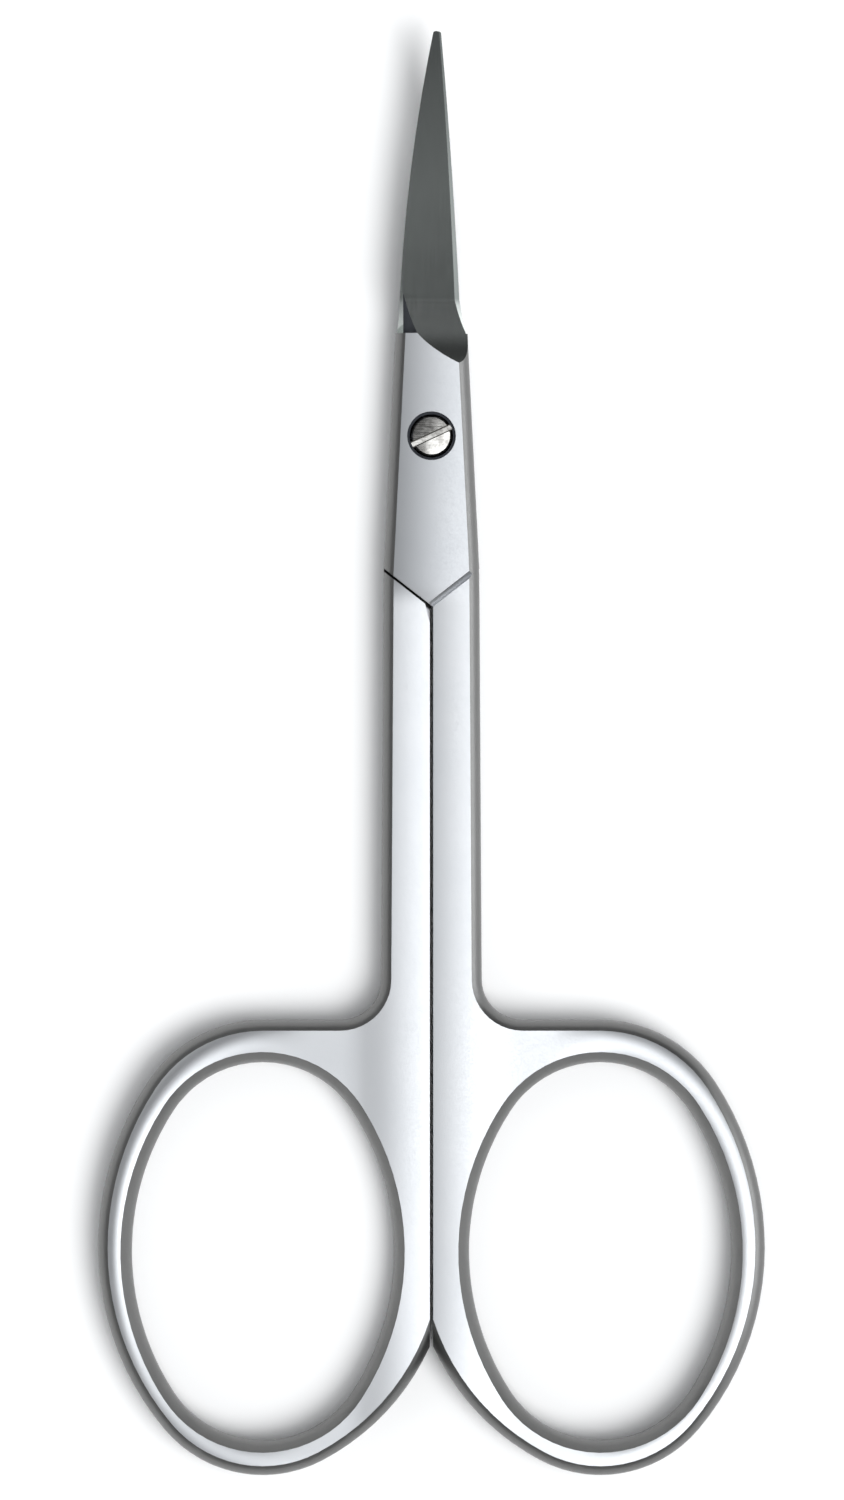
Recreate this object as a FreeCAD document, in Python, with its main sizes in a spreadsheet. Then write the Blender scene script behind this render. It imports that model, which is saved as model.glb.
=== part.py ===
"""Cuticle scissors: two forged halves that lap at a joint and turn on one slotted screw.

Frame, in millimetres: the origin is on the pivot axis at the plane the scissors lie on,
+X to the right ring, +Y to the blade tips, +Z up.  Both halves come from one pattern,
drawn as the upper half: its ring and shank lie on +X and its plate is the upper layer.
The lower half is the same pattern turned over about Y, with its blade bent the other way.
"""
import FreeCAD, Part
import math
import os
import re
import Sketcher

# Driving sizes in millimetres; names that end in angle are degrees, and shares have no unit.
SIZES = [
    # Thickness and the lap joint
    ("shank_thickness", 3.2),
    ("joint_gap", 0.03),
    ("centre_gap", 0.22),
    ("vee_drop", 10.8),
    ("vee_angle", 38),
    ("vee_gap", 0.16),
    ("corner_cut_width", 0.3),
    ("corner_cut_length", 1.1),
    ("bevel_width", 0.26),
    ("bevel_wall", 0.13),
    ("bevel_depth", 0.18),
    # Shanks and plates: the half width at the joint and what it gains and loses from there
    ("joint_half_width", 3.05),
    ("shank_taper", 0.17),
    ("plate_taper", 0.75),
    ("flank_easing", 1.5),
    ("plate_end", 6.54),
    ("flank_inset", 0.65),
    ("flank_round_share", 0.45),
    # Finger rings: ring_drop is from the pivot to a ring's middle, hole_drop from there to its hole's
    ("ring_drop", 51.7),
    ("hole_width", 16.7),
    ("hole_length", 24.1),
    ("hole_drop", 0.25),
    ("hole_end_radius", 6.8),
    ("hole_flare", 0.7),
    ("flare_overrun_share", 0.25),
    ("ring_wall", 2.15),
    ("ring_end_wall", 2.45),
    ("ring_web", 2.29),
    ("ring_top_radius", 8.8),
    ("ring_bottom_radius", 8.2),
    ("ring_inner_bulge", 1.36),
    ("shank_blend", 2.6),
    # Blades in plan: widths from the centre line where the root curve ends
    ("blade_length", 25.68),
    ("root_length", 8.7),
    ("root_half_width", 2.2),
    ("spine_root_radius", 23),
    ("edge_root_radius", 11),
    ("upper_spine_width", 2.02),
    ("upper_edge_width", 1.48),
    ("lower_spine_width", 1.78),
    ("lower_edge_width", 1.72),
    ("bowed_side_radius", 112),
    ("plain_side_radius", 400),
    ("tip_lean", 0.36),
    ("tip_half_width", 0.25),
    ("tip_inset", 0.12),
    ("tip_round_drop", 0.09),
    # Blades from the side: the bend and the ground face
    ("bend_radius", 84),
    ("blade_relief", 0.05),
    ("grind_angle", 21.8),
    ("grind_start", 8.5),
    ("grind_height", 0.84),
    ("runout_radius", 6.4),
    ("tip_edge_thickness", 0.2),
    ("spine_cut_reach", 0.9),
    ("spine_cut_width", 0.9),
    ("spine_cut_depth", 1.0),
    ("spine_cut_rise_share", 0.4),
    # Pivot screw
    ("head_diameter", 2.75),
    ("head_height", 0.72),
    ("head_bevel", 0.2),
    ("head_crown", 0.1),
    ("recess_diameter", 3.1),
    ("recess_depth", 0.85),
    ("screw_diameter", 2),
    ("running_clearance", 0.04),
    ("thread_clearance", 0.01),
    ("slot_width", 0.42),
    ("slot_depth", 0.34),
    ("slot_angle", 24.7),
    # How far every cut runs past what it cuts
    ("overrun", 1.5),
]
RUNOUT_RISE_SHARE = 0.4

doc = FreeCAD.newDocument("cuticle_scissors")
sheet = doc.addObject("Spreadsheet::Sheet", "Sizes")
for row, (alias, value) in enumerate(SIZES, start=1):
    sheet.set(f"A{row}", alias)
    sheet.set(f"B{row}", str(value))
    sheet.setAlias(f"B{row}", alias)
doc.recompute()

ALIAS = re.compile(r"\b(" + "|".join(alias for alias, value in SIZES) + r")\b")


def value_of(formula):
    """The number that a formula of sheet names gives."""
    return float(sheet.evalExpression(formula))


def tie(owner, target, formula):
    """Bind a property or constraint of owner to a formula of sheet names."""
    owner.setExpression(target, ALIAS.sub(r"Sizes.\1", formula))


def new_sketch(body, name, role, lift="0"):
    """A sketch on one of the body's origin planes, lifted along the plane's normal."""
    sketch = body.newObject("Sketcher::SketchObject", name)
    plane = next(f for f in body.Origin.OriginFeatures if f.Role == role)
    sketch.AttachmentSupport = [(plane, "")]
    sketch.MapMode = "FlatFace"
    if lift != "0":
        tie(sketch, "AttachmentOffset.Base.z", lift)
    return sketch


def turn_sketch(sketch, axis, angle):
    """Turn a sketch about one of its own axes by a formula's angle in degrees."""
    sketch.AttachmentOffset.Rotation = FreeCAD.Rotation(axis, value_of(angle))
    tie(sketch, "AttachmentOffset.Rotation.Angle", f"({angle}) * 1 deg")


def hold(sketch, kind, *where, formula):
    """Add a dimension to a sketch and bind it to a formula."""
    index = sketch.addConstraint(Sketcher.Constraint(kind, *where, value_of(formula)))
    tie(sketch, f"Constraints[{index}]", formula)


def hold_point(sketch, edge, end, x, y):
    """Hold an end of a sketch edge at formulas x and y; None leaves that one free."""
    for kind, axis, formula in (("DistanceX", -2, x), ("DistanceY", -1, y)):
        if formula == "0":
            sketch.addConstraint(Sketcher.Constraint("PointOnObject", edge, end, axis))
        elif formula is not None:
            hold(sketch, kind, -1, 1, edge, end, formula=formula)


def arc_between(start, end, radius):
    """The lesser arc that turns left from start to end."""
    chord = end - start
    left = FreeCAD.Vector(-chord.y, chord.x, 0) / chord.Length
    centre = (start + end) / 2 + left * math.sqrt(radius**2 - (chord.Length / 2) ** 2)
    return Part.Arc(start, centre - left * radius, end)


def draw_outline(sketch, corners):
    """Draw a closed outline from corners (x, y) or (x, y, radius, turn).

    The last two make the edge that arrives at that corner an arc, which turns left where
    turn is 1 and right where it is -1.
    """
    points = [FreeCAD.Vector(value_of(corner[0]), value_of(corner[1]), 0) for corner in corners]
    ends = []
    for i, corner in enumerate(corners):
        before, here = points[i - 1], points[i]
        turn = corner[3] if len(corner) > 2 else 0
        if turn == 0:
            edge = Part.LineSegment(before, here)
        elif turn > 0:
            edge = arc_between(before, here, value_of(corner[2]))
        else:
            edge = arc_between(here, before, value_of(corner[2]))
        sketch.addGeometry(edge, False)
        ends.append((2, 1) if turn < 0 else (1, 2))
    for i, corner in enumerate(corners):
        after = (i + 1) % len(corners)
        joined = (i, ends[i][1], after, ends[after][0])
        sketch.addConstraint(Sketcher.Constraint("Coincident", *joined))
        hold_point(sketch, i, ends[i][1], corner[0], corner[1])
        if len(corner) > 2:
            hold(sketch, "Radius", i, formula=corner[2])


def draw_circle(sketch, diameter):
    """A circle about the sketch's origin."""
    start = Part.Circle(FreeCAD.Vector(), FreeCAD.Vector(0, 0, 1), value_of(f"{diameter} / 2"))
    index = sketch.addGeometry(start, False)
    sketch.addConstraint(Sketcher.Constraint("Coincident", index, 3, -1, 1))
    hold(sketch, "Diameter", index, formula=diameter)


def pad(body, name, sketch, length):
    """Raise a sketch along its normal by a formula's length."""
    feature = body.newObject("PartDesign::Pad", name)
    feature.Profile = sketch
    tie(feature, "Length", length)
    doc.recompute()
    return feature


def pocket(body, name, sketch, length=None, towards_normal=False, direction=None):
    """Cut a sketch out of the body: both ways through it, or by a formula's length."""
    before = body.Shape.Volume
    feature = body.newObject("PartDesign::Pocket", name)
    feature.Profile = sketch
    if direction:
        feature.UseCustomVector = True
        feature.Direction = direction
    if length is None:
        feature.Type = "ThroughAll"
        feature.SideType = "Symmetric"
    else:
        feature.Reversed = towards_normal
        tie(feature, "Length", length)
    doc.recompute()
    if body.Shape.Volume >= before:
        raise RuntimeError(f"{name} cuts nothing")
    return feature


def round_edges(body, name, radius, wanted):
    """Round the edges of the body that the test picks."""
    base = body.Tip
    names = [f"Edge{i}" for i, edge in enumerate(base.Shape.Edges, start=1) if wanted(edge)]
    feature = body.newObject("PartDesign::Fillet", name)
    feature.Base = (base, names)
    tie(feature, "Radius", radius)
    doc.recompute()
    return feature


def middle_of(edge):
    """The point halfway along an edge's parameter."""
    return edge.valueAt((edge.FirstParameter + edge.LastParameter) / 2)


# Formulas that several features share
RING_X = "(centre_gap / 2 + ring_web + hole_width / 2)"
RING_HALF_WIDTH = "(hole_width / 2 + ring_wall)"
RING_HALF_LENGTH = "(hole_length / 2 + ring_end_wall)"
RING_TOP = f"({RING_HALF_LENGTH} - ring_drop)"
HOLE_DROP = "(ring_drop + hole_drop)"
INNER_HALF_WIDTH = f"({RING_X} - centre_gap / 2 + ring_inner_bulge)"
JOINT_Y = "(joint_half_width * tan(vee_angle * 1 deg) - vee_drop)"
FLANK_AT_RING = "(joint_half_width + shank_taper)"
FLANK_AT_BLADE = "(joint_half_width - plate_taper)"
LAP = "(shank_thickness / 2 + joint_gap / 2)"
FLANK_RADIUS = "(shank_thickness * flank_round_share)"
GROUND_OFF = (f"({FLANK_RADIUS} - sqrt(pow({FLANK_RADIUS}; 2)"
              f" - pow({FLANK_RADIUS} - flank_inset; 2)))")
BLANK_THICKNESS = f"(shank_thickness + 2 * {GROUND_OFF})"
INNER_X = "(centre_gap / 2 - ring_inner_bulge)"
PLATE_SEAM = f"({FLANK_RADIUS} + centre_gap - ring_inner_bulge)"
PLATE_LEAN = f"atan(plate_taper / (plate_end - {JOINT_Y}))"
OUTSIDE = f"({FLANK_AT_RING} + overrun)"
TAB_Y = "(-vee_drop - overrun)"
BLADE_REACH = "(blade_length + overrun)"
BEND_RISE = "(bend_radius - sqrt(pow(bend_radius; 2) - pow({0} - plate_end; 2)))"


def oval_quarter(half_width, half_length, end_radius):
    """Formulas of an oval's quarter made of two smooth arcs: side radius, and where they meet."""
    rise = f"({half_length} - {end_radius})"
    side = (f"((pow({rise}; 2) + pow({half_width}; 2) - pow({end_radius}; 2))"
            f" / (2 * ({half_width} - {end_radius})))")
    ratio = f"({end_radius} / ({side} - {end_radius}))"
    return side, f"({ratio} * ({side} - {half_width}))", f"({rise} * (1 + {ratio}))"


def draw_handle(sketch):
    """Ring, shank and the plate's near side; past the centre line it is cut away later."""
    inner_side, inner_x, inner_y = oval_quarter(
        INNER_HALF_WIDTH, RING_HALF_LENGTH, "ring_bottom_radius")
    low_side, low_x, low_y = oval_quarter(RING_HALF_WIDTH, RING_HALF_LENGTH, "ring_bottom_radius")
    high_side, high_x, high_y = oval_quarter(RING_HALF_WIDTH, RING_HALF_LENGTH, "ring_top_radius")
    shank_lean = f"atan(shank_taper / ({JOINT_Y} - {RING_TOP}))"
    draw_outline(sketch, [
        (FLANK_AT_RING, RING_TOP),
        (f"joint_half_width + flank_easing * sin({shank_lean})",
         f"{JOINT_Y} - flank_easing * cos({shank_lean})"),
        (f"joint_half_width - flank_easing * sin({PLATE_LEAN})",
         f"{JOINT_Y} + flank_easing * cos({PLATE_LEAN})",
         f"flank_easing / tan(({PLATE_LEAN} - {shank_lean}) / 2)", 1),
        (FLANK_AT_BLADE, "plate_end"),
        (INNER_X, "plate_end"),
        (INNER_X, "-ring_drop"),
        (f"{RING_X} - {inner_x}", f"-ring_drop - {inner_y}", inner_side, 1),
        (f"{RING_X} + {low_x}", f"-ring_drop - {low_y}", "ring_bottom_radius", 1),
        (f"{RING_X} + {RING_HALF_WIDTH}", "-ring_drop", low_side, 1),
        (f"{RING_X} + {high_x}", f"{high_y} - ring_drop", high_side, 1),
        (RING_X, RING_TOP, "ring_top_radius", 1),
    ])


def draw_hole(sketch, flare):
    """The finger hole, an oval of four smooth arcs, wider all round by a flare."""
    end_radius = f"(hole_end_radius + {flare})"
    side, x, y = oval_quarter(f"(hole_width / 2 + {flare})", f"(hole_length / 2 + {flare})", end_radius)
    draw_outline(sketch, [
        (f"{RING_X} + {x}", f"{y} - {HOLE_DROP}", side, 1),
        (f"{RING_X} - {x}", f"{y} - {HOLE_DROP}", end_radius, 1),
        (f"{RING_X} - {x}", f"-{y} - {HOLE_DROP}", side, 1),
        (f"{RING_X} + {x}", f"-{y} - {HOLE_DROP}", end_radius, 1),
    ])


def cut_finger_hole(body):
    """The finger hole: narrowest at half thickness, it flares to a crest on both faces."""
    flare = "(hole_flare * pow(1 + 2 * flare_overrun_share; 2))"
    past = "(shank_thickness * flare_overrun_share)"
    sections = []
    for name, lift, wider in (
        ("hole_under", f"-{past}", flare),
        ("hole_middle", "shank_thickness / 2", "0"),
        ("hole_over", f"shank_thickness + {past}", flare),
    ):
        sections.append(new_sketch(body, name, "XY_Plane", lift))
        draw_hole(sections[-1], wider)
    hole = body.newObject("PartDesign::SubtractiveLoft", "finger_hole")
    hole.Profile = sections[0]
    hole.Sections = sections[1:]
    doc.recompute()


def on_outer_rim(edge):
    """True for the top and bottom edges of the outside of a handle, which are rounded."""
    point = middle_of(edge)
    height = abs(point.z - value_of("shank_thickness / 2"))
    small = value_of("shank_thickness") / 1e4
    lies_flat = abs(height - value_of(f"{BLANK_THICKNESS} / 2")) < small
    return lies_flat and abs(point.y - value_of("plate_end")) > small


def on_far_rim(edge):
    """True for the top and bottom edges of the plate's far side."""
    return on_outer_rim(edge) and middle_of(edge).x < value_of(f"-{FLANK_AT_BLADE}")


def is_upright_at(edge, x, y):
    """True for an upright edge that stands at formulas x and y."""
    point = middle_of(edge)
    small = value_of("shank_thickness") / 1e4
    foot = FreeCAD.Vector(value_of(x), value_of(y), point.z)
    upright = abs(edge.BoundBox.ZLength - value_of(BLANK_THICKNESS)) < small
    return upright and point.distanceToPoint(foot) < small


def grind_flat(body, name, lift, upward):
    """Grind the rounded blank flat on one face, which leaves a crest with an edge."""
    right = f"{RING_X} + {RING_HALF_WIDTH} + overrun"
    low = f"-ring_drop - {RING_HALF_LENGTH} - overrun"
    sketch = new_sketch(body, f"{name}_outline", "XY_Plane", lift)
    draw_outline(sketch, [
        (right, "plate_end + overrun"),
        (f"-{OUTSIDE}", "plate_end + overrun"),
        (f"-{OUTSIDE}", low),
        (right, low),
    ])
    pocket(body, name, sketch, f"{GROUND_OFF} + overrun", towards_normal=upward)


def make_handle(body):
    """Ring, shank and plate: a rounded blank ground flat and holed, then lapped under the plate."""
    outline = new_sketch(body, "handle_outline", "XY_Plane", f"-{GROUND_OFF}")
    draw_handle(outline)
    pad(body, "handle", outline, BLANK_THICKNESS)
    round_edges(body, "shank_blend", "shank_blend",
                lambda edge: is_upright_at(edge, FLANK_AT_RING, RING_TOP))
    round_edges(body, "flank_rounding", FLANK_RADIUS, on_outer_rim)
    far_side = new_sketch(body, "far_side_outline", "XY_Plane", f"-{GROUND_OFF}")
    draw_outline(far_side, [
        (PLATE_SEAM, "plate_end"),
        (f"-{FLANK_AT_BLADE}", "plate_end"),
        (f"({TAB_Y} - {JOINT_Y}) * tan({PLATE_LEAN}) - joint_half_width", TAB_Y),
        (PLATE_SEAM, TAB_Y),
    ])
    pad(body, "far_side", far_side, BLANK_THICKNESS)
    round_edges(body, "far_rounding", FLANK_RADIUS, on_far_rim)
    grind_flat(body, "top_flat", "shank_thickness", True)
    grind_flat(body, "bottom_flat", "0", False)
    cut_finger_hole(body)
    slope = "tan(vee_angle * 1 deg)"
    vee = new_sketch(body, "vee_outline", "XY_Plane")
    draw_outline(vee, [
        ("0", "-vee_drop"),
        (f"-{OUTSIDE}", f"{OUTSIDE} * {slope} - vee_drop"),
        (f"-{OUTSIDE}", f"-ring_drop - {RING_HALF_LENGTH} - overrun"),
        ("centre_gap / 2", f"-ring_drop - {RING_HALF_LENGTH} - overrun"),
        ("centre_gap / 2", "-vee_drop - centre_gap / 2"),
    ])
    pocket(body, "vee", vee)
    lap = new_sketch(body, "lap_outline", "XY_Plane")
    shoulder = "(vee_gap / cos(vee_angle * 1 deg) + vee_drop)"
    corner_x = "(centre_gap / 2 + corner_cut_width)"
    draw_outline(lap, [
        (f"-{OUTSIDE}", "-vee_drop - corner_cut_length"),
        ("centre_gap / 2", "-vee_drop - corner_cut_length"),
        (corner_x, f"{corner_x} * {slope} - {shoulder}"),
        (OUTSIDE, f"{OUTSIDE} * {slope} - {shoulder}"),
        (OUTSIDE, "plate_end + overrun"),
        (f"-{OUTSIDE}", "plate_end + overrun"),
    ])
    pocket(body, "lap", lap, LAP, towards_normal=True)


def make_blade(body, side, bend):
    """The blade: a blank of its plan outline, hollowed to the bend, ground to an edge, relieved."""
    sign = "+" if bend > 0 else "-"
    under = f"(shank_thickness / 2 + blade_relief {sign} {BEND_RISE})"
    lean = f"({sign}tip_lean)"
    sweep = BEND_RISE.format(BLADE_REACH)
    outline = new_sketch(body, "blade_outline", "XY_Plane", f"shank_thickness / 2 - {sweep}")
    draw_blade_plan(outline, side, lean)
    pad(body, "blade_blank", outline, f"shank_thickness / 2 + 2 * {sweep}")
    floor = f"shank_thickness / 2 - {sweep} - overrun"
    profile = new_sketch(body, "bend_profile", "YZ_Plane")
    draw_outline(profile, [
        ("plate_end - overrun", f"{LAP} - overrun"),
        ("plate_end + blade_relief - joint_gap / 2", "shank_thickness / 2 + blade_relief"),
        (BLADE_REACH, under.format(BLADE_REACH), "bend_radius", bend),
        (BLADE_REACH, floor),
        ("plate_end - overrun", floor),
    ])
    pocket(body, "bend", profile)
    cut_ground_face(body, under, lean, bend)
    cut_spine(body)


def draw_blade_plan(sketch, side, lean):
    """The blade from above: spine on -X, cutting edge on +X, a round tip."""
    spine_radius, edge_radius = "bowed_side_radius", "plain_side_radius"
    if side == "lower":
        spine_radius, edge_radius = edge_radius, spine_radius
    tip_y = "(blade_length - tip_round_drop)"
    draw_outline(sketch, [
        ("-root_half_width", "plate_end"),
        (f"-{side}_spine_width", "root_length", "spine_root_radius", 1),
        (f"{lean} - tip_half_width", tip_y, spine_radius, -1),
        (f"{lean} + tip_half_width - tip_inset", tip_y, "tip_half_width", -1),
        (f"{side}_edge_width", "root_length", edge_radius, -1),
        ("root_half_width", "plate_end", "edge_root_radius", 1),
    ])


def cut_ground_face(body, under, lean, bend):
    """Grind the blade's outer face: it falls towards the edge and runs out into the plate."""
    sketch = new_sketch(body, "ground_profile", "YZ_Plane")
    tie(sketch, "AttachmentOffset.Base.y", "shank_thickness / 2")
    turn_sketch(sketch, FreeCAD.Vector(1, 0, 0), "grind_angle")
    ceiling = f"(shank_thickness + {BEND_RISE} + overrun)".format(BLADE_REACH)
    runout = f"(grind_start - runout_radius * sqrt(1 - pow(1 - {RUNOUT_RISE_SHARE}; 2)))"
    level = f"({under} - shank_thickness / 2 + tip_edge_thickness)".format(BLADE_REACH)
    tip_edge = f"({lean} + tip_half_width - tip_inset)"
    end = f"{level} * cos(grind_angle * 1 deg) + {tip_edge} * sin(grind_angle * 1 deg)"
    draw_outline(sketch, [
        (runout, ceiling),
        (runout, f"grind_height + runout_radius * {RUNOUT_RISE_SHARE}"),
        ("grind_start", "grind_height", "runout_radius", 1),
        (BLADE_REACH, end, "bend_radius / cos(grind_angle * 1 deg)", bend),
        (BLADE_REACH, ceiling),
    ])
    pocket(body, "ground_face", sketch)


def cut_spine(body):
    """Cut the steep relief beside the spine where the blade leaves the plate; it fades out."""
    top = "shank_thickness"
    floor = "shank_thickness - spine_cut_depth"
    run = "spine_cut_width / spine_cut_depth"
    sketch = new_sketch(body, "spine_cut_section", "XZ_Plane", "-plate_end")
    draw_outline(sketch, [
        (f"overrun * {run} - spine_cut_reach", f"{top} + overrun"),
        ("-spine_cut_reach - spine_cut_width", floor),
        (f"-{OUTSIDE}", floor),
        (f"-{OUTSIDE}", f"{top} + overrun"),
    ])
    slope = FreeCAD.Vector(0, 1, value_of("spine_cut_rise_share"))
    cut = pocket(body, "spine_cut", sketch, "blade_length", direction=slope)
    tie(cut, "Direction.z", "spine_cut_rise_share")


def cut_vee_bevel(body):
    """Cut the bevelled line that carries the joint's vee across the half's own shank."""
    sketch = new_sketch(body, "vee_bevel_section", "XZ_Plane", "vee_drop")
    turn_sketch(sketch, FreeCAD.Vector(0, 1, 0), "vee_angle - 90")
    floor = "shank_thickness - bevel_depth"
    steepness = "(1 + overrun / bevel_depth)"
    draw_outline(sketch, [
        ("0", floor),
        (f"bevel_wall * {steepness}", "shank_thickness + overrun"),
        (f"-bevel_width * {steepness}", "shank_thickness + overrun"),
    ])
    pocket(body, "vee_bevel", sketch, f"{OUTSIDE} / cos(vee_angle * 1 deg)")


def make_half(label, side, bend):
    """One half of the scissors in the pattern's own position."""
    body = doc.addObject("PartDesign::Body", label)
    body.Label = label
    make_handle(body)
    make_blade(body, side, bend)
    cut_vee_bevel(body)
    return body


def bore(body, name, diameter, depth=None):
    """A round hole on the pivot axis, right through or sunk from the top."""
    sketch = new_sketch(body, f"{name}_circle", "XY_Plane", "shank_thickness")
    draw_circle(sketch, diameter)
    pocket(body, name, sketch, depth)


def make_screw():
    """The slotted pivot screw: crowned head, plain shank and a tail flush with the underside."""
    body = doc.addObject("PartDesign::Body", "pivot_screw")
    body.Label = "pivot_screw"
    seat = "(shank_thickness - recess_depth + joint_gap)"
    rim = f"({seat} + head_height)"
    crown = f"({rim} + head_crown)"
    face = "(head_diameter / 2 - head_bevel)"
    profile = new_sketch(body, "screw_profile", "XZ_Plane")
    draw_outline(profile, [
        ("0", "0"),
        ("screw_diameter / 2", "0"),
        ("screw_diameter / 2", seat),
        ("head_diameter / 2", seat),
        ("head_diameter / 2", f"{rim} - head_bevel"),
        (face, rim),
        ("0", crown, f"(pow({face}; 2) + pow(head_crown; 2)) / (2 * head_crown)", 1),
    ])
    turned = body.newObject("PartDesign::Revolution", "turned")
    turned.Profile = profile
    turned.ReferenceAxis = (profile, ["V_Axis"])
    doc.recompute()
    slot = new_sketch(body, "slot_outline", "XY_Plane", crown)
    turn_sketch(slot, FreeCAD.Vector(0, 0, 1), "slot_angle")
    half_length = "head_diameter / 2 + overrun"
    draw_outline(slot, [
        (half_length, "slot_width / 2"),
        (f"-({half_length})", "slot_width / 2"),
        (f"-({half_length})", "-slot_width / 2"),
        (half_length, "-slot_width / 2"),
    ])
    pocket(body, "slot", slot, "slot_depth")
    return body


def check_document(bodies):
    """Stop if a feature failed or a sub-part isn't one sound solid."""
    for item in doc.Objects:
        if "Invalid" in item.State or "Error" in item.State:
            raise RuntimeError(f"{item.Name}: {item.getStatusString()}")
    for body in bodies:
        shape = body.Shape
        if shape.isNull() or not shape.isValid() or len(shape.Solids) != 1:
            raise RuntimeError(f"{body.Label} isn't one sound solid")


upper = make_half("upper_half", "upper", 1)
bore(upper, "head_recess", "recess_diameter", "recess_depth")
bore(upper, "pivot_hole", "screw_diameter + 2 * running_clearance")
lower = make_half("lower_half", "lower", -1)
bore(lower, "thread_hole", "screw_diameter + 2 * thread_clearance")
lower.Placement.Rotation = FreeCAD.Rotation(FreeCAD.Vector(0, 1, 0), 180)
tie(lower, "Placement.Base.z", "shank_thickness")
screw = make_screw()
doc.recompute()
parts = [upper, lower, screw]
check_document(parts)
os.makedirs("parts", exist_ok=True)
for body in parts:
    body.Shape.exportStep(f"parts/{body.Label}.step")
    print(body.Label, round(body.Shape.Volume, 3), body.Shape.optimalBoundingBox(False, False))
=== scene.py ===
"""Cuticle scissors in satin steel, lying on a white sweep and seen from straight above.

Every piece stands in the shared frame, in metres: the origin is on the pivot axis at the
plane the scissors lie on, +X to the right ring, +Y to the blade tips, +Z up.
"""

import math

import bmesh
import bpy
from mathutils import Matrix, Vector


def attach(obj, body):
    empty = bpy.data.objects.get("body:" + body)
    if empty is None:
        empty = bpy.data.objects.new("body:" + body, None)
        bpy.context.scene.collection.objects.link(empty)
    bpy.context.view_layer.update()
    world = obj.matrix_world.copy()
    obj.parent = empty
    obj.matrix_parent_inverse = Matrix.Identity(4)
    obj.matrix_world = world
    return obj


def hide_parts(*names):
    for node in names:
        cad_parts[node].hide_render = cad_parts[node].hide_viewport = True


MM = 0.001
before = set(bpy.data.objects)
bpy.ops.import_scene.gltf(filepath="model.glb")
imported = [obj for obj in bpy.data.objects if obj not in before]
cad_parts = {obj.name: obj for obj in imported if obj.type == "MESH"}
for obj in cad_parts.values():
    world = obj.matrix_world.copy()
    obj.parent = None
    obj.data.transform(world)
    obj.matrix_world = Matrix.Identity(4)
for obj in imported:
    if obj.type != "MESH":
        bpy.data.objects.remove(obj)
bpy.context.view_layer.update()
scene = bpy.context.scene

# Places on the part; a ring's half sizes are those of the middle line of its band
SHANK_MIDDLE = 1.65 * MM
RING_X, RING_Y = 10.69 * MM, -51.8 * MM
RING_HALF_WIDTH, RING_HALF_LENGTH = 9.45 * MM, 13.3 * MM
VEE_POINT, VEE_SLOPE = -10.8 * MM, math.tan(math.radians(38))
VEE_REACH, VEE_HALF_WIDTH = 0.6 * MM, 2.45 * MM
LAP_HEIGHT = 1.6 * MM
RECESS_RADIUS, RECESS_FLOOR, RECESS_RIM = 1.6 * MM, 2.0 * MM, 3.15 * MM
SLOT_ANGLE = math.radians(-24.7)
RUN_OUT_END, RUN_OUT_HALF_WIDTH = 4.6 * MM, 2.3 * MM
BLADE_START, RELIEF_END = 6.5 * MM, 9.5 * MM
GRIND_ANGLE = math.radians(21.8)
GRIND_AXIS = Vector((math.cos(GRIND_ANGLE), 0.0, -math.sin(GRIND_ANGLE)))

# Faces that meet at more than this angle keep a sharp edge
CREASE_ANGLE = math.radians(24)

# Where the materials stand in a half's list, after its satin steel
GROUND, FLANK, CREVICE_SHADE = 1, 2, 3

# The part of a noise's range that holds most of its values, and a spread that falls
NOISE_SPAN = (0.3, 0.7)
FALLING = (1.0, 0.0)


# Node helpers


def put(tree, kind, **settings):
    """Add a node; settings are its properties."""
    node = tree.nodes.new(kind)
    for name, value in settings.items():
        setattr(node, name, value)
    return node


def feed(tree, target, source):
    """Give a socket a number or colour, or link another socket to it."""
    if isinstance(source, bpy.types.NodeSocket):
        tree.links.new(source, target)
    else:
        target.default_value = source


def split(tree, vector):
    """The X, Y and Z of a vector."""
    node = put(tree, "ShaderNodeSeparateXYZ")
    feed(tree, node.inputs[0], vector)
    return node.outputs


def sum_up(tree, operation, first, second=0.0, third=0.0):
    """One Math node; returns its result."""
    node = put(tree, "ShaderNodeMath", operation=operation)
    for socket, value in zip(node.inputs, (first, second, third)):
        feed(tree, socket, value)
    return node.outputs[0]


def spread(tree, value, span, ends=(0.0, 1.0)):
    """Go smoothly from one end to the other while a value crosses a span, held outside it."""
    node = put(tree, "ShaderNodeMapRange", interpolation_type="SMOOTHSTEP")
    for name, number in zip(("From Min", "From Max", "To Min", "To Max"), (*span, *ends)):
        feed(tree, node.inputs[name], number)
    feed(tree, node.inputs["Value"], value)
    return node.outputs["Result"]


def speckle(tree, vector, scale, detail, roughness):
    """Noise of features about 1 / scale metres across."""
    node = put(tree, "ShaderNodeTexNoise", noise_dimensions="3D")
    feed(tree, node.inputs["Vector"], vector)
    feed(tree, node.inputs["Scale"], scale)
    feed(tree, node.inputs["Detail"], detail)
    feed(tree, node.inputs["Roughness"], roughness)
    return node.outputs["Fac"]


def stretched(tree, vector, scale=(1.0, 1.0, 1.0), turn=0.0):
    """Object coordinates turned about Z and scaled along each axis."""
    node = put(tree, "ShaderNodeMapping")
    feed(tree, node.inputs["Vector"], vector)
    feed(tree, node.inputs["Scale"], scale)
    feed(tree, node.inputs["Rotation"], (0.0, 0.0, turn))
    return node.outputs["Vector"]


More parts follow.
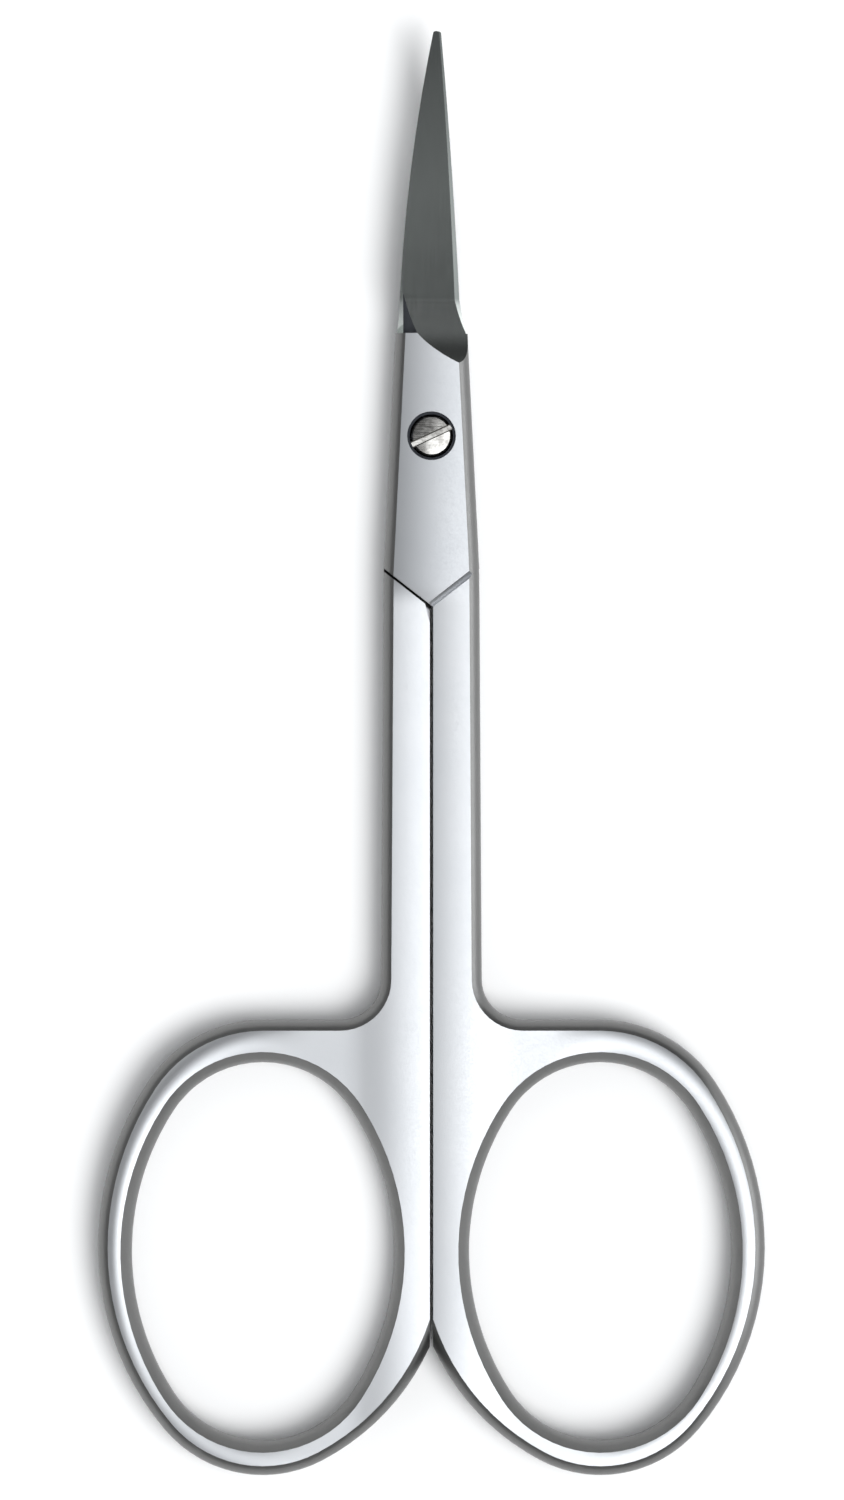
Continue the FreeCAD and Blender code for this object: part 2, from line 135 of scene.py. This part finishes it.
def blend(tree, mask, first, second):
    """A colour between two sockets or colours with alpha, the second where the mask is 1."""
    node = put(tree, "ShaderNodeMix", data_type="RGBA")
    feed(tree, node.inputs[0], mask)
    feed(tree, node.inputs[6], first)
    feed(tree, node.inputs[7], second)
    return node.outputs[2]


def two_tone(tree, mask, first, second):
    """A colour between two without alpha, the second where the mask is 1."""
    return blend(tree, mask, (*first, 1.0), (*second, 1.0))


def new_group(name, takes, gives):
    """An empty shader node group with named sockets."""
    group = bpy.data.node_groups.new(name, "ShaderNodeTree")
    for sockets, in_out in ((takes, "INPUT"), (gives, "OUTPUT")):
        for socket, kind in sockets:
            group.interface.new_socket(socket, in_out=in_out, socket_type=f"NodeSocket{kind}")
    return group, put(group, "NodeGroupInput").outputs, put(group, "NodeGroupOutput").inputs


def use(tree, group, **values):
    """Place a group with its own values; returns its outputs."""
    node = put(tree, "ShaderNodeGroup", node_tree=group)
    for name, value in values.items():
        feed(tree, node.inputs[name.replace("_", " ")], value)
    return node.outputs


# Shared effects


def make_crowned_face():
    """Flat faces are polished to a slight crown: normals lean off the middle of shank and ring."""
    group, takes, gives = new_group(
        "crowned_face",
        [("Place", "Vector"), ("Middle", "Float"), ("Roll", "Float"),
         ("Ring", "Float"), ("Ring Roll", "Float")],
        [("Normal", "Vector")])
    shank_edge, ring_start = (2.4 * MM, 6.0 * MM), (7.0 * MM, 13.0 * MM)
    widest_lean, lost_off_shank = 2.6 * MM, 0.75
    mean_radius, band_edge = 11.0 * MM, (0.6 * MM, 1.4 * MM)
    x, y, _ = split(group, takes["Place"])
    off_centre = sum_up(group, "ABSOLUTE", x)
    off_shank = spread(group, off_centre, shank_edge)
    on_ring = spread(group, off_centre, ring_start)

    across = put(group, "ShaderNodeClamp")
    feed(group, across.inputs["Value"], sum_up(group, "SUBTRACT", x, takes["Middle"]))
    feed(group, across.inputs["Min"], -widest_lean)
    feed(group, across.inputs["Max"], widest_lean)
    kept = sum_up(group, "MULTIPLY_ADD", off_shank, -lost_off_shank, 1.0)
    lean = sum_up(group, "MULTIPLY", across.outputs[0], takes["Roll"])
    lean = sum_up(group, "MULTIPLY", lean, kept)

    aside = sum_up(group, "SUBTRACT", x, takes["Ring"])
    aside = sum_up(group, "DIVIDE", aside, RING_HALF_WIDTH)
    ahead = sum_up(group, "SUBTRACT", y, RING_Y)
    ahead = sum_up(group, "DIVIDE", ahead, RING_HALF_LENGTH)
    reach = sum_up(group, "MULTIPLY", ahead, ahead)
    reach = sum_up(group, "SQRT", sum_up(group, "MULTIPLY_ADD", aside, aside, reach))
    off_band = sum_up(group, "MULTIPLY", sum_up(group, "SUBTRACT", reach, 1.0), mean_radius)
    fading = spread(group, off_band, band_edge, FALLING)
    ring_lean = sum_up(group, "MULTIPLY", sum_up(group, "MULTIPLY", off_band, fading),
                       sum_up(group, "MULTIPLY", on_ring, takes["Ring Roll"]))

    leaning = put(group, "ShaderNodeCombineXYZ")
    feed(group, leaning.inputs[0], sum_up(group, "MULTIPLY_ADD", ring_lean, aside, lean))
    feed(group, leaning.inputs[1], sum_up(group, "MULTIPLY", ring_lean, ahead))
    turned = put(group, "ShaderNodeVectorTransform", vector_type="VECTOR",
                 convert_from="OBJECT", convert_to="WORLD")
    feed(group, turned.inputs[0], leaning.outputs[0])
    leaned = put(group, "ShaderNodeVectorMath", operation="ADD")
    feed(group, leaned.inputs[0], put(group, "ShaderNodeNewGeometry").outputs["Normal"])
    feed(group, leaned.inputs[1], turned.outputs[0])
    unit = put(group, "ShaderNodeVectorMath", operation="NORMALIZE")
    feed(group, unit.inputs[0], leaned.outputs[0])
    feed(group, gives["Normal"], unit.outputs[0])
    return group


def make_fine_grain():
    """The grain of satin steel: the height of fine specks, and wider clouds for its tone."""
    group, takes, gives = new_group(
        "fine_grain",
        [("Place", "Vector"), ("Grain", "Float")],
        [("Height", "Float"), ("Cloud", "Float")])
    specks = speckle(group, takes["Place"], scale=takes["Grain"], detail=2.0, roughness=0.6)
    clouds = speckle(group, takes["Place"], scale=260.0, detail=3.0, roughness=0.55)
    feed(group, gives["Height"], specks)
    feed(group, gives["Cloud"], clouds)
    return group


def make_joint_shade():
    """Painted shade where the vee's crack meets the lap: a mask, 1 on unshaded steel and 0 in the
    crack, where shade falls.
    """
    group, takes, gives = new_group("joint_painted_shade", [("Place", "Vector")], [("Outside Shade", "Float")])
    vee_edge, lap_edge = (0.25 * MM, 0.45 * MM), (0.2 * MM, 0.4 * MM)
    x, y, z = split(group, takes["Place"])
    vee = sum_up(group, "MULTIPLY_ADD", sum_up(group, "ABSOLUTE", x), VEE_SLOPE, VEE_POINT)
    off_vee = sum_up(group, "ABSOLUTE", sum_up(group, "SUBTRACT", y, vee))
    off_lap = sum_up(group, "ABSOLUTE", sum_up(group, "SUBTRACT", z, LAP_HEIGHT))
    clear_of_vee = spread(group, off_vee, vee_edge)
    clear_of_lap = spread(group, off_lap, lap_edge)
    feed(group, gives["Outside Shade"], sum_up(group, "MAXIMUM", clear_of_vee, clear_of_lap))
    return group


CROWNED_FACE = make_crowned_face()
JOINT_SHADE = make_joint_shade()
FINE_GRAIN = make_fine_grain()


# Materials


def new_steel(name):
    """A metal material with its tree, its Principled shader and its Object coordinates."""
    material = bpy.data.materials.new(name)
    material.use_nodes = True
    tree = material.node_tree
    shader = tree.nodes["Principled BSDF"]
    feed(tree, shader.inputs["Metallic"], 1.0)
    place = put(tree, "ShaderNodeTexCoord").outputs["Object"]
    return material, tree, shader, place


def rough_skin(tree, shader, height, roughness, strength, depth, normal=None):
    """Let a height set the shader's roughness and, through a Bump node, its normal."""
    feed(tree, shader.inputs["Roughness"], spread(tree, height, NOISE_SPAN, roughness))
    bump = put(tree, "ShaderNodeBump")
    feed(tree, bump.inputs["Strength"], strength)
    feed(tree, bump.inputs["Distance"], depth)
    feed(tree, bump.inputs["Height"], height)
    if normal is not None:
        feed(tree, bump.inputs["Normal"], normal)
    feed(tree, shader.inputs["Normal"], bump.outputs[0])


def make_satin_steel(name, shank_side):
    """Satin steel of one half; shank_side is +1 where its shank lies on +X."""
    material, tree, shader, place = new_steel(name)
    plate_end = (-11.0 * MM, -9.0 * MM)
    # near black: the painted shade in the vee's crack
    painted_shade = (0.02, 0.02, 0.02, 1.0)
    _, y, _ = split(tree, place)
    on_shank = spread(tree, y, plate_end, FALLING)
    middle = sum_up(tree, "MULTIPLY", on_shank, shank_side * SHANK_MIDDLE)
    crowned = use(tree, CROWNED_FACE, Place=place, Middle=middle, Roll=45.0,
                  Ring=shank_side * RING_X, Ring_Roll=450.0)
    grain = use(tree, FINE_GRAIN, Place=place, Grain=9000.0)
    plate = two_tone(tree, grain["Cloud"], (0.45, 0.465, 0.485), (0.485, 0.495, 0.51))
    shank = two_tone(tree, grain["Cloud"], (0.585, 0.60, 0.62), (0.635, 0.645, 0.66))
    tone = blend(tree, on_shank, plate, shank)
    # painted shade: the steel is darkened to near black where the vee's crack meets the lap
    unshaded = use(tree, JOINT_SHADE, Place=place)["Outside Shade"]
    feed(tree, shader.inputs["Base Color"], blend(tree, unshaded, painted_shade, tone))
    rough_skin(tree, shader, grain["Height"], roughness=(0.34, 0.42),
               strength=0.25, depth=0.004 * MM, normal=crowned["Normal"])
    return material


def make_dark_steel(name, tone, roughness):
    """Steel of one dark tone: on the sides of rings and shanks a tumbled finish partly darkened by
    painted shade, and in the crevices a near-black painted shade.
    """
    material, tree, shader, place = new_steel(name)
    cloud_shade = 0.88
    grain = use(tree, FINE_GRAIN, Place=place, Grain=6000.0)
    shaded = tuple(cloud_shade * channel for channel in tone)
    feed(tree, shader.inputs["Base Color"], two_tone(tree, grain["Cloud"], shaded, tone))
    rough_skin(tree, shader, grain["Height"], roughness, strength=0.1, depth=0.004 * MM)
    return material


def make_ground_steel():
    """The blades' ground faces: smooth steel given a dark painted shade that deepens towards the
    tips, and a painted light where the grind runs out by the plate, with painted shade at the
    run-out's foot.
    """
    material, tree, shader, place = new_steel("ground_steel_shaded")
    root_to_tip = (9.0 * MM, 24.0 * MM)
    run_out_end, run_out_start = (5.4 * MM, 6.8 * MM), (6.9 * MM, 8.55 * MM)
    run_out_edge = (8.3 * MM, 8.87 * MM)
    # the tone the blade darkens to at its tip is a painted shade
    tip_painted_shade, start = (0.10, 0.107, 0.104, 1.0), (0.37, 0.388, 0.378, 1.0)
    _, y, _ = split(tree, place)
    along_blade = stretched(tree, place, (9000.0, 500.0, 500.0))
    lines = speckle(tree, along_blade, scale=1.0, detail=2.0, roughness=0.6)
    clouds = speckle(tree, place, scale=300.0, detail=3.0, roughness=0.5)
    # the blade's tone near its root is a painted shade, far darker than bare steel
    root = two_tone(tree, clouds, (0.165, 0.177, 0.171), (0.195, 0.208, 0.201))
    blade = blend(tree, spread(tree, y, root_to_tip), root, tip_painted_shade)
    # the run-out: painted shade at its foot by the plate, rising to a painted light, then easing
    # to the start tone
    off_end = spread(tree, y, run_out_end)
    run_out_painted_light = two_tone(tree, off_end, (0.25, 0.262, 0.255), (0.66, 0.693, 0.674))
    run_out_painted_light = blend(tree, spread(tree, y, run_out_start), run_out_painted_light, start)
    tone = blend(tree, spread(tree, y, run_out_edge), run_out_painted_light, blade)
    feed(tree, shader.inputs["Base Color"], tone)
    rough_skin(tree, shader, lines, roughness=(0.17, 0.20), strength=0.08, depth=0.003 * MM)
    return material


def make_polished_steel():
    """The screw: bright turned steel with scratches and handling marks, and painted shade on the
    slot's walls and on the head's side below its rim.
    """
    material, tree, shader, place = new_steel("polished_steel")
    mark_span, slot_wall = (0.35, 0.6), (0.10 * MM, 0.17 * MM)
    slot_rim = (2.95 * MM, 3.05 * MM)
    # near black: the painted shade on the slot's walls and the head's side
    painted_shade = (0.03, 0.028, 0.025, 1.0)
    along_scratch = stretched(tree, place, (700.0, 9000.0, 700.0), turn=0.6)
    scratches = speckle(tree, along_scratch, scale=1.0, detail=3.0, roughness=0.65)
    marks = speckle(tree, place, scale=1400.0, detail=3.0, roughness=0.6)
    unmarked = spread(tree, marks, mark_span)
    tone = two_tone(tree, unmarked, (0.27, 0.262, 0.25), (0.53, 0.52, 0.50))
    _, across_slot, z = split(tree, stretched(tree, place, turn=SLOT_ANGLE))
    off_wall = spread(tree, sum_up(tree, "ABSOLUTE", across_slot), slot_wall, FALLING)
    # painted shade: darkened outside the slot's middle and below the head's rim, on the slot's
    # walls and the head's side in the recess
    unshaded = sum_up(tree, "MAXIMUM", off_wall, spread(tree, z, slot_rim))
    feed(tree, shader.inputs["Base Color"], blend(tree, unshaded, painted_shade, tone))
    rough_skin(tree, shader, scratches, roughness=(0.14, 0.32), strength=0.35, depth=0.01 * MM)
    return material


# Pieces


def sound_copy(node):
    """A merged copy of a node's mesh as a bmesh, its flat faces joined."""
    merge_distance, flat_angle = 0.001 * MM, math.radians(0.05)
    bm = bmesh.new()
    bm.from_mesh(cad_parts[node].data)
    bmesh.ops.remove_doubles(bm, verts=bm.verts, dist=merge_distance)
    bmesh.ops.dissolve_limit(bm, angle_limit=flat_angle, verts=bm.verts, edges=bm.edges)
    return bm


def finish_piece(name, bm, body, node, materials):
    """Make the object of a piece that stands for a node and moves with its body."""
    for edge in bm.edges:
        edge.smooth = not (edge.is_manifold and edge.calc_face_angle() > CREASE_ANGLE)
    for face in bm.faces:
        face.smooth = True
    mesh = bpy.data.meshes.new(name)
    bm.to_mesh(mesh)
    bm.free()
    for material in materials:
        mesh.materials.append(material)
    piece = bpy.data.objects.new(name, mesh)
    scene.collection.objects.link(piece)
    even = piece.modifiers.new("even_shading", "WEIGHTED_NORMAL")
    even.keep_sharp = True
    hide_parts(node)
    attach(piece, body)


def near_vee(place):
    """True beside the vee of the joint."""
    vee_y = abs(place.x) * VEE_SLOPE + VEE_POINT
    return abs(place.y - vee_y) < VEE_REACH and abs(place.x) < VEE_HALF_WIDTH


def is_shaded_crevice(face, place, up):
    """True for the walls of the vee, of the blade's relief and round the screw's head, which take
    a near-black painted shade.
    """
    in_recess = math.hypot(place.x, place.y) < RECESS_RADIUS
    in_recess = in_recess and RECESS_FLOOR < place.z < RECESS_RIM
    on_relief = face.normal.x < -0.3 and up * face.normal.z > 0.2
    on_relief = on_relief and BLADE_START < place.y < RELIEF_END
    upright = abs(face.normal.z) < 0.3
    return in_recess or on_relief or (upright and near_vee(place))


def is_run_out(face, place, up):
    """True where a blade's grind runs out in the plate."""
    in_plate = place.y > RUN_OUT_END and abs(place.x) < RUN_OUT_HALF_WIDTH
    along_grind = abs(face.normal.dot(GRIND_AXIS)) < 0.06
    return in_plate and along_grind and up * face.normal.z > 0.3


def make_half(name, node, body, finishes_and_shade, up):
    """One half; up is the side that its ground face looks to."""
    bm = sound_copy(node)
    for face in bm.faces:
        middle = face.calc_center_median()
        off_flat = abs(face.normal.z) < 0.9
        # crevices take a near-black painted shade
        if is_shaded_crevice(face, middle, up):
            face.material_index = CREVICE_SHADE
        elif middle.y > BLADE_START or is_run_out(face, middle, up):
            face.material_index = GROUND
        # sides take the darker flank tone, partly painted shade
        elif off_flat and not near_vee(middle):
            face.material_index = FLANK
    finish_piece(name, bm, body, node, finishes_and_shade)


def make_screw(polished):
    """The pivot screw, which stays with the lower half."""
    bm = sound_copy("pivot_screw")
    finish_piece("pivot_screw_turned", bm, "lower", "pivot_screw", [polished])


# the ground, flank and crevice materials; their dark tones are partly or wholly painted shade
side_finishes_and_shade = [
    make_ground_steel(),
    # the sides of rings and shanks: a tumbled finish, its dark tone partly painted shade
    make_dark_steel("flank_steel_shaded", tone=(0.19, 0.19, 0.187), roughness=(0.34, 0.40)),
    # near-black painted shade for the walls of the vee, the blade's relief and the screw's recess
    make_dark_steel("crevice_painted_shade", tone=(0.045, 0.048, 0.055), roughness=(0.30, 0.36)),
]
upper_satin = make_satin_steel("satin_steel_upper", shank_side=1.0)
lower_satin = make_satin_steel("satin_steel_lower", shank_side=-1.0)
make_half("upper_half_satin", "upper_half", "upper", [upper_satin, *side_finishes_and_shade], up=1)
make_half("lower_half_satin", "lower_half", "lower", [lower_satin, *side_finishes_and_shade], up=-1)
make_screw(make_polished_steel())


# Stage, light and camera


def make_floor():
    """A white sweep that keeps the shadow, a hair below the part."""
    half_width, drop = 1.5, 0.05 * MM
    bm = bmesh.new()
    bmesh.ops.create_grid(bm, x_segments=1, y_segments=1, size=half_width)
    bmesh.ops.translate(bm, verts=bm.verts, vec=(0.0, 0.0, -drop))
    mesh = bpy.data.meshes.new("floor")
    bm.to_mesh(mesh)
    bm.free()
    floor = bpy.data.objects.new("floor", mesh)
    scene.collection.objects.link(floor)
    material = bpy.data.materials.new("white_sweep")
    material.use_nodes = True
    tree = material.node_tree
    tree.nodes.clear()
    paper = put(tree, "ShaderNodeBsdfDiffuse")
    feed(tree, paper.inputs["Color"], (0.98, 0.98, 0.98, 1.0))
    feed(tree, put(tree, "ShaderNodeOutputMaterial").inputs["Surface"], paper.outputs[0])
    mesh.materials.append(material)


def make_world():
    """A studio dome: a softbox overhead, a light low on +X and pale walls on the other sides."""
    softbox = Vector((0.30, -0.18, 0.93)).normalized()
    softbox_edge, softbox_light = (0.87, 0.99), (0.13, 3.35)
    side_edge, side_light = (0.80, 1.0), (0.0, 3.6)
    wall_foot, wall_light = (0.25, 0.45), (0.0, 0.65)
    wall_top, wall_end = (0.72, 0.88), (0.15, 0.45)
    world = bpy.data.worlds.new("studio_dome")
    world.use_nodes = True
    scene.world = world
    tree = world.node_tree
    tree.nodes.clear()
    direction = put(tree, "ShaderNodeTexCoord").outputs["Generated"]
    towards = put(tree, "ShaderNodeVectorMath", operation="DOT_PRODUCT")
    feed(tree, towards.inputs[0], direction)
    feed(tree, towards.inputs[1], tuple(softbox))
    overhead = spread(tree, towards.outputs["Value"], softbox_edge, softbox_light)
    x, _, z = split(tree, direction)
    beside = spread(tree, x, side_edge, side_light)
    walls = spread(tree, z, wall_foot, wall_light)
    walls = sum_up(tree, "MULTIPLY", walls, spread(tree, z, wall_top, FALLING))
    walls = sum_up(tree, "MULTIPLY", walls, spread(tree, x, wall_end, FALLING))
    light = sum_up(tree, "ADD", sum_up(tree, "ADD", overhead, beside), walls)
    backing = put(tree, "ShaderNodeBackground")
    feed(tree, backing.inputs["Color"], (0.97, 0.985, 1.0, 1.0))
    feed(tree, backing.inputs["Strength"], light)
    feed(tree, put(tree, "ShaderNodeOutputWorld").inputs["Surface"], backing.outputs[0])


def make_sun(name, strength, spread_deg, towards):
    """A soft sun that casts the shadow from a direction, hidden from reflections."""
    lamp = bpy.data.lights.new(name, "SUN")
    lamp.energy = strength
    lamp.angle = math.radians(spread_deg)
    sun = bpy.data.objects.new(name, lamp)
    scene.collection.objects.link(sun)
    sun.visible_glossy = False
    sun.rotation_mode = "QUATERNION"
    sun.rotation_quaternion = Vector(towards).to_track_quat("Z", "Y")


def make_camera():
    """Straight above, framed as the photograph, whose scale holds at one level of the part."""
    pixels_high, pixels_per_mm = 1500, 15.7
    middle_x, middle_y = -0.605 * MM, -19.99 * MM
    height, level = 0.6, 2.4 * MM
    lens = bpy.data.cameras.new("camera")
    lens.sensor_width = 36.0
    lens.lens = lens.sensor_width * height / (pixels_high / pixels_per_mm * MM)
    lens.clip_start, lens.clip_end = 0.01, 10.0
    camera = bpy.data.objects.new("camera", lens)
    camera.location = (middle_x, middle_y, height + level)
    scene.collection.objects.link(camera)
    scene.camera = camera


make_floor()
make_world()
make_sun("key", strength=1.35, spread_deg=34.0, towards=(0.42, -0.33, 0.84))
make_camera()
scene.view_settings.view_transform = "Standard"
